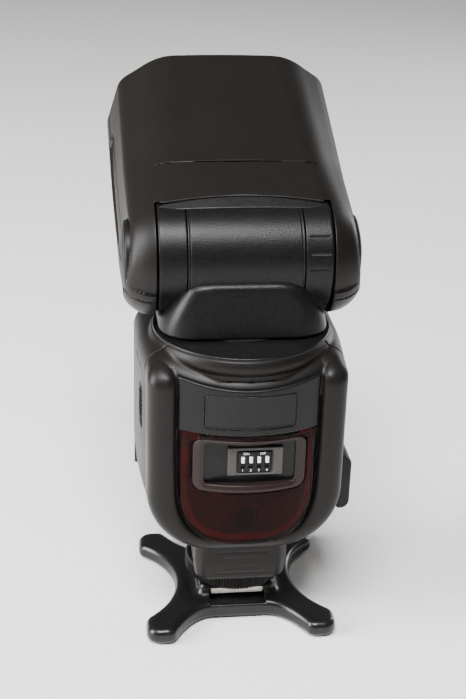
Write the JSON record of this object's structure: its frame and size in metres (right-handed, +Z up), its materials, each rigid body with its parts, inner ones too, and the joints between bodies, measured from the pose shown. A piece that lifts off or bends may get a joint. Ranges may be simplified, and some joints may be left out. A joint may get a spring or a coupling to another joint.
{
  "type": "speedlight flash",
  "caption": "Hot-shoe speedlight flash with a tilting, swivelling head, red sensor window and DIP switches, standing in a mini stand.",
  "frame": {"origin": "centre of the tripod socket's mouth, on the underside of the stand", "axes": "+Z up along the body; -Y is the front of the body, with the red window; +X is the viewer's right"},
  "size_m": [0.0784, 0.1174, 0.1729],
  "materials": {
    "moulded_black": "fine spark-eroded texture, satin",
    "textured_black": "coarse speckled texture, satin",
    "gloss_black": "smooth, semi-gloss",
    "inner_black": "plain moulded",
    "rubber_black": "matt rubber",
    "red_window": "dark red tinted, ribbed behind",
    "clear_lens": "ribbed clear acrylic",
    "display_pane": "clear acrylic",
    "lcd": "liquid crystal panel",
    "badge_black": "satin plate, no mark",
    "tray_black": "smooth",
    "lever_white": "white nylon",
    "shoe_metal": "plated, warm silver",
    "steel": "zinc plated",
    "brass": "turned",
    "cell_jacket": "shrink sleeve",
    "board_green": "solder mask",
    "capacitor_sleeve": "shrink sleeve",
    "winding": "taped winding",
    "reflector_silver": "bright aluminium",
    "tube_glass": "quartz tube",
    "card_white": "white card",
    "button_grey": "satin"
  },
  "bodies": {
    "stand": {"stand_base": "gloss_black", "stand_insert": "brass", "stand_pads": "rubber_black"},
    "flash_body": {"shoe_plate": "shoe_metal", "contact_pins": "brass", "foot_block": "moulded_black", "foot_screws": "steel", "front_shell": "moulded_black", "rear_shell": "moulded_black", "body_screws": "steel", "sensor_window": "red_window", "optical_sensor": "inner_black", "dip_tray": "tray_black", "dip_housing": "inner_black", "badge": "badge_black", "battery_holder": "inner_black", "battery_cells": "cell_jacket", "battery_contacts": "steel", "sync_socket": "inner_black", "power_socket": "inner_black", "rear_panel": "gloss_black", "display_window": "display_pane", "display_module": "lcd", "main_board": "board_green", "main_capacitor": "capacitor_sleeve", "trigger_transformer": "winding", "swivel_platform": "textured_black"},
    "lock_wheel": {"lock_ring": "moulded_black"},
    "lock_washer": {"lock_washer": "steel"},
    "dip_lever_1": {"dip_slider_1": "lever_white"},
    "dip_lever_2": {"dip_slider_2": "lever_white"},
    "dip_lever_3": {"dip_slider_3": "lever_white"},
    "dip_lever_4": {"dip_slider_4": "lever_white"},
    "door": {"battery_door": "moulded_black"},
    "latch": {"door_latch": "moulded_black"},
    "port_flap": {"port_cover": "rubber_black"},
    "mode_key": {"mode_button": "button_grey"},
    "power_key": {"power_button": "button_grey"},
    "pilot_key": {"pilot_button": "button_grey"},
    "ok_key": {"ok_button": "button_grey"},
    "pad_key": {"pad_ring": "button_grey"},
    "swivel": {"swivel_flange": "inner_black", "neck_yoke": "textured_black", "barrel_cover": "textured_black", "barrel_end_left": "textured_black", "barrel_end_right": "textured_black", "tilt_axle": "steel"},
    "head": {"head_upper_shell": "moulded_black", "head_lower_shell": "moulded_black", "head_screws": "steel", "window_bezel": "gloss_black", "fresnel_lens": "clear_lens", "hinge_cap": "moulded_black", "zoom_motor": "steel"},
    "release": {"tilt_button": "moulded_black"},
    "card": {"catch_card": "card_white"},
    "diffuser": {"wide_panel": "clear_lens"},
    "carriage": {"reflector": "reflector_silver", "flash_tube": "tube_glass"},
    "screw": {"zoom_screw": "steel"}
  },
  "joints": [
    {"name": "shoe_slide", "type": "slide", "parent": "stand", "child": "flash_body", "axis": [0, -1, 0], "range_m": [0, 0.024]},
    {"name": "lock_turn", "type": "hinge", "parent": "flash_body", "child": "lock_wheel", "pos_m": [0, 0, 0.0137], "axis": [0, 0, 1], "range_deg": [0, 300]},
    {"name": "washer_lift", "type": "slide", "parent": "flash_body", "child": "lock_washer", "axis": [0, 0, 1], "range_m": [0, 0.001]},
    {"name": "dip_1", "type": "slide", "parent": "flash_body", "child": "dip_lever_1", "axis": [0, 0, -1], "range_m": [0, 0.0021]},
    {"name": "dip_2", "type": "slide", "parent": "flash_body", "child": "dip_lever_2", "axis": [0, 0, -1], "range_m": [0, 0.0021]},
    {"name": "dip_3", "type": "slide", "parent": "flash_body", "child": "dip_lever_3", "axis": [0, 0, -1], "range_m": [0, 0.0021]},
    {"name": "dip_4", "type": "slide", "parent": "flash_body", "child": "dip_lever_4", "axis": [0, 0, -1], "range_m": [0, 0.0021]},
    {"name": "door_swing", "type": "hinge", "parent": "flash_body", "child": "door", "pos_m": [-0.0322, 0.0191, 0.067], "axis": [0, 0, -1], "range_deg": [0, 100]},
    {"name": "latch_slide", "type": "slide", "parent": "door", "child": "latch", "axis": [0, 0, -1], "range_m": [0, 0.0028]},
    {"name": "port_flap_swing", "type": "hinge", "parent": "flash_body", "child": "port_flap", "pos_m": [0.0343, 0.0142, 0.046], "axis": [0, 0, 1], "range_deg": [0, 95]},
    {"name": "mode_press", "type": "slide", "parent": "flash_body", "child": "mode_key", "axis": [0, -1, 0], "range_m": [0, 0.0007], "stiffness_N_per_m": 400},
    {"name": "power_press", "type": "slide", "parent": "flash_body", "child": "power_key", "axis": [0, -1, 0], "range_m": [0, 0.0007], "stiffness_N_per_m": 400},
    {"name": "pilot_press", "type": "slide", "parent": "flash_body", "child": "pilot_key", "axis": [0, -1, 0], "range_m": [0, 0.0007], "stiffness_N_per_m": 400},
    {"name": "ok_press", "type": "slide", "parent": "flash_body", "child": "ok_key", "axis": [0, -1, 0], "range_m": [0, 0.0007], "stiffness_N_per_m": 400},
    {"name": "pad_press", "type": "slide", "parent": "flash_body", "child": "pad_key", "axis": [0, -1, 0], "range_m": [0, 0.0007], "stiffness_N_per_m": 400},
    {"name": "head_swivel", "type": "hinge", "parent": "flash_body", "child": "swivel", "pos_m": [0, 0, 0.0998], "axis": [0, 0, 1], "range_deg": [0, 270]},
    {"name": "head_tilt", "type": "hinge", "parent": "swivel", "child": "head", "pos_m": [0, 0.0074, 0.1231], "axis": [1, 0, 0], "range_deg": [-22, 68]},
    {"name": "tilt_release", "type": "slide", "parent": "head", "child": "release", "axis": [1, 0, 0], "range_m": [0, 0.0015], "stiffness_N_per_m": 400},
    {"name": "card_slide", "type": "slide", "parent": "head", "child": "card", "axis": [0, 0.9272, 0.3746], "range_m": [0, 0.036]},
    {"name": "diffuser_slide", "type": "slide", "parent": "head", "child": "diffuser", "axis": [0, 0.9272, 0.3746], "range_m": [0, 0.038]},
    {"name": "zoom_slide", "type": "slide", "parent": "head", "child": "carriage", "axis": [0, 0.9272, 0.3746], "range_m": [0, 0.01]},
    {"name": "zoom_screw_spin", "type": "hinge", "parent": "head", "child": "screw", "pos_m": [0, 0.04183, 0.12277], "axis": [0, 0.9272, 0.3746], "range_deg": [0, 900]}
  ],
  "couplings": [
    {"joint": "washer_lift", "follows": "lock_turn", "m_per_rad": 0.00019},
    {"joint": "zoom_screw_spin", "follows": "zoom_slide", "rad_per_m": 1570}
  ]
}
